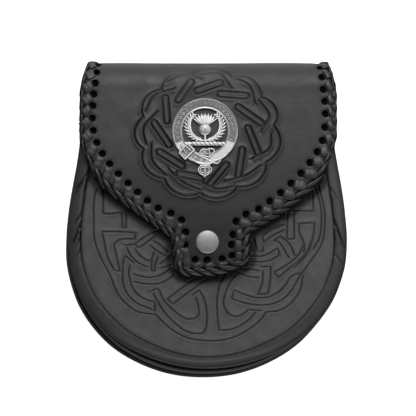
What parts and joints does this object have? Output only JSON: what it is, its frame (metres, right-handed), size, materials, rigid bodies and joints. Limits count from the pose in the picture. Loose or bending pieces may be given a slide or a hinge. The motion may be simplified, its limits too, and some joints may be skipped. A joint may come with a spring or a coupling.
{
  "type": "leather sporran pouch",
  "caption": "Flat rounded leather sporran pouch: laced flap with a press stud and a round metal badge, side band with piping, belt loops behind.",
  "frame": {"origin": "middle of the outline seen from the front, on the surface that the belt loops rest on", "axes": "+X to the right seen from the front, +Y towards the fold at the top, +Z out of the front face"},
  "size_m": [0.1838, 0.2054, 0.0475],
  "materials": {
    "leather": "black pebbled full-grain leather, soft semi-matt sheen, pressed knotwork",
    "lace": "black flat leather lace, smooth semi-gloss",
    "snap_metal": "nickel plate, dull and finely brushed",
    "badge_metal": "bright cast metal with dark recesses"
  },
  "bodies": {
    "root": {"back_panel": "leather", "gusset": "leather", "piping": "leather", "front_panel": "leather", "flap": "leather", "flap_lacing": "lace", "snap_cap": "snap_metal", "snap_stud": "snap_metal", "badge": "badge_metal", "belt_loop_left": "leather", "belt_loop_right": "leather"}
  },
  "joints": []
}
